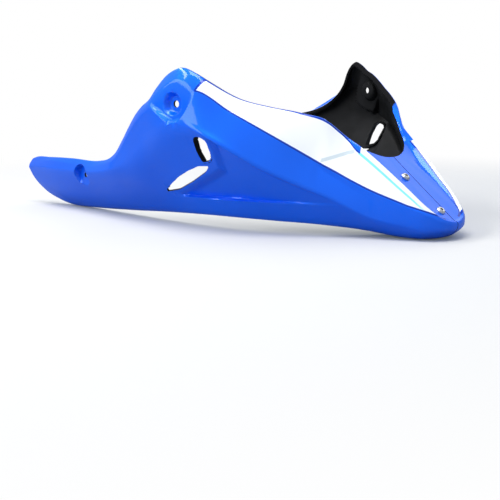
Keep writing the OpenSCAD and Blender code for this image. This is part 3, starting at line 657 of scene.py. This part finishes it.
def brushed_steel():
    """Stainless steel with fine turning marks and a little grime."""
    material, tree = new_material("stainless_steel")
    place = add_node(tree, "ShaderNodeTexCoord", dict(take="Object"))
    marks = add_node(tree, "ShaderNodeTexNoise", dict(take="Fac"), Vector=place, Scale=900.0, Detail=2.0)
    cloud = add_node(tree, "ShaderNodeTexNoise", dict(take="Fac"), Vector=place, Scale=260.0, Detail=2.0)
    colour = cloud.step(0.35, 0.75).blend((0.62, 0.62, 0.60, 1), (0.36, 0.35, 0.34, 1))
    bump = add_node(tree, "ShaderNodeBump", Strength=0.2, Distance=0.0001, Height=marks)
    finish_material(tree, add_node(
        tree, "ShaderNodeBsdfPrincipled", Base_Color=colour, Metallic=1.0, Roughness=0.22 + cloud * 0.2,
        Normal=bump))
    return material


steel = brushed_steel()
for name, spot in zip(("upper", "lower"), screw_spots):
    points, faces = screw_body()
    points = spot + points @ [along_strip, [0, 1, 0], out_of_strip] + [-LENGTH / 2, SEAM_GAP / 2, 0]
    points = points * [1, -1, 1]
    mesh = bpy.data.meshes.new(name + "_screw")
    mesh.from_pydata((points / 1000).tolist(), [], [face[::-1] for face in faces])
    mesh.polygons.foreach_set("use_smooth", [True] * len(faces))
    mesh.set_sharp_from_angle(angle=np.radians(35))
    mesh.materials.append(steel)
    screw = bpy.data.objects.new(name + "_screw", mesh)
    bpy.context.scene.collection.objects.link(screw)
    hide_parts(name + "_nose_screw")
    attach(screw, "root")


# The two clip nuts: pressed spring-steel plates with a threaded collar, zinc plated. They sit behind the
# joining flange of the left shell, and the nose screws run into them.

def zinc():
    """Dull zinc plate with a mottled bloom."""
    material, tree = new_material("zinc_plate")
    place = add_node(tree, "ShaderNodeTexCoord", dict(take="Object"))
    mottle = add_node(tree, "ShaderNodeTexNoise", dict(take="Fac"), Vector=place, Scale=420.0, Detail=3.0)
    colour = mottle.step(0.35, 0.7).blend((0.42, 0.42, 0.41, 1), (0.22, 0.22, 0.22, 1))
    bump = add_node(tree, "ShaderNodeBump", Strength=0.2, Distance=0.0001, Height=mottle)
    finish_material(tree, add_node(
        tree, "ShaderNodeBsdfPrincipled", Base_Color=colour, Metallic=0.9, Roughness=0.32 + mottle * 0.25,
        Normal=bump))
    return material


plated = zinc()
for name in ("upper_clip_nut", "lower_clip_nut"):
    nut = bpy.data.objects[name]
    nut.data.materials.clear()
    nut.data.materials.append(plated)


# The studio: a white floor that carries the shadow, lifted and tinted blue near the pan by a painted glow,
# pale-blue air, a narrow soft box overhead, a broad one high over the nose, one on the right of the pan, and
# two on its left, high and low.

FLOOR_HALF, FLOOR_DROP = 6.0, 0.0005
floor_corners = [(x * FLOOR_HALF, y * FLOOR_HALF, -FLOOR_DROP)
                 for x, y in ((-1, -1), (1, -1), (1, 1), (-1, 1))]
floor_mesh = bpy.data.meshes.new("floor")
floor_mesh.from_pydata(floor_corners, [], [(0, 1, 2, 3)])
floor = bpy.data.objects.new("floor", floor_mesh)
bpy.context.scene.collection.objects.link(floor)
material, tree = new_material("white_floor")
seen = add_node(tree, "ShaderNodeLightPath", dict(take="Is Camera Ray"))
lit = add_node(tree, "ShaderNodeBsdfDiffuse", Color=(0.54, 0.53, 0.52, 1))
# Painted light: near the pan the floor glows faintly pale blue, which lifts its shadow and tints it blue.
painted_blue_glow = add_node(tree, "ShaderNodeEmission", Color=(0.72, 0.90, 1.0, 1), Strength=0.08)
near = add_node(tree, "ShaderNodeAddShader", _0=lit, _1=painted_blue_glow)
far = add_node(tree, "ShaderNodeEmission", Color=(1, 1, 1, 1), Strength=1.0)
place = add_node(tree, "ShaderNodeTexCoord", dict(take="Object"))
away = add_node(tree, "ShaderNodeVectorMath", dict(operation="LENGTH", take="Value"), _0=place)
shown = add_node(tree, "ShaderNodeMixShader", _0=away.step(0.45, 0.95), _1=near, _2=far)
bounce = add_node(tree, "ShaderNodeBsdfDiffuse", Color=(0.30, 0.34, 0.40, 1))
finish_material(tree, add_node(tree, "ShaderNodeMixShader", _0=seen, _1=bounce, _2=shown))
floor_mesh.materials.append(material)

world = bpy.data.worlds.new("studio_air")
bpy.context.scene.world = world
world.use_nodes = True
tree = world.node_tree
tree.nodes.clear()
seen = add_node(tree, "ShaderNodeLightPath", dict(take="Is Camera Ray"))
air = add_node(tree, "ShaderNodeBackground", Color=(0.82, 0.89, 1.0, 1), Strength=0.62)
white_air = add_node(tree, "ShaderNodeBackground", Color=(1, 1, 1, 1), Strength=1.0)
mixed = add_node(tree, "ShaderNodeMixShader", _0=seen, _1=air, _2=white_air)
add_node(tree, "ShaderNodeOutputWorld", _0=mixed)


def soft_box(name, place, target, size, energy):
    """Rectangular lamp at a place, pointed at a target."""
    lamp = bpy.data.lights.new(name, "AREA")
    lamp.shape, lamp.size, lamp.size_y, lamp.energy = "RECTANGLE", size[0], size[1], energy
    box = bpy.data.objects.new(name, lamp)
    back = np.array(place, float) - target
    box.matrix_world = looking(place, back / np.linalg.norm(back))
    bpy.context.scene.collection.objects.link(box)


def looking(place, back, roll=0.0):
    """Placement of a lamp or camera whose own +Z is the unit vector back. Its +X is level, then turned by
    roll."""
    right = np.array([-back[1], back[0], 0]) / np.hypot(back[0], back[1])
    up = np.cross(back, right)
    c, s = np.cos(roll), np.sin(roll)
    return mathutils.Matrix([[*row, p] for row, p in zip(
        np.stack([c * right + s * up, c * up - s * right, back], -1), place)] + [[0, 0, 0, 1]])


soft_box("overhead_box", (-0.7, -0.5, 1.2), (-0.1, 0.0, 0.1), (1.6, 0.18), 11)
soft_box("key_box", (0.30, -0.55, 1.65), (0, 0, 0.1), (1.0, 0.8), 22)
soft_box("side_box", (-0.9, -2.4, 1.1), (-0.1, 0, 0.1), (2.0, 1.4), 30)
soft_box("back_box", (0.0, 1.3, 1.3), (0, 0, 0.1), (2.0, 1.0), 6)
soft_box("low_back_box", (-1.2, 2.0, 0.5), (0.1, 0, 0.1), (2.6, 0.9), 12)


# The camera: in front of the pan and on its right, a little above it, with the lens shifted down.

AZIMUTH, ELEVATION, ROLL = np.radians(45), np.radians(4.94), np.radians(-0.61)
AIM, DISTANCE = np.array([-0.0125, 0, 0.08]), 1.24
view_back = np.array([np.sin(AZIMUTH) * np.cos(ELEVATION), -np.cos(AZIMUTH) * np.cos(ELEVATION),
                      np.sin(ELEVATION)])
lens = bpy.data.cameras.new("camera")
lens.sensor_width, lens.lens, lens.shift_x, lens.shift_y = 36.0, 66.16, 0.00536, -0.196
camera = bpy.data.objects.new("camera", lens)
camera.matrix_world = looking(AIM + DISTANCE * view_back, view_back, ROLL)
bpy.context.scene.collection.objects.link(camera)
bpy.context.scene.camera = camera
bpy.context.scene.view_settings.view_transform = "Standard"
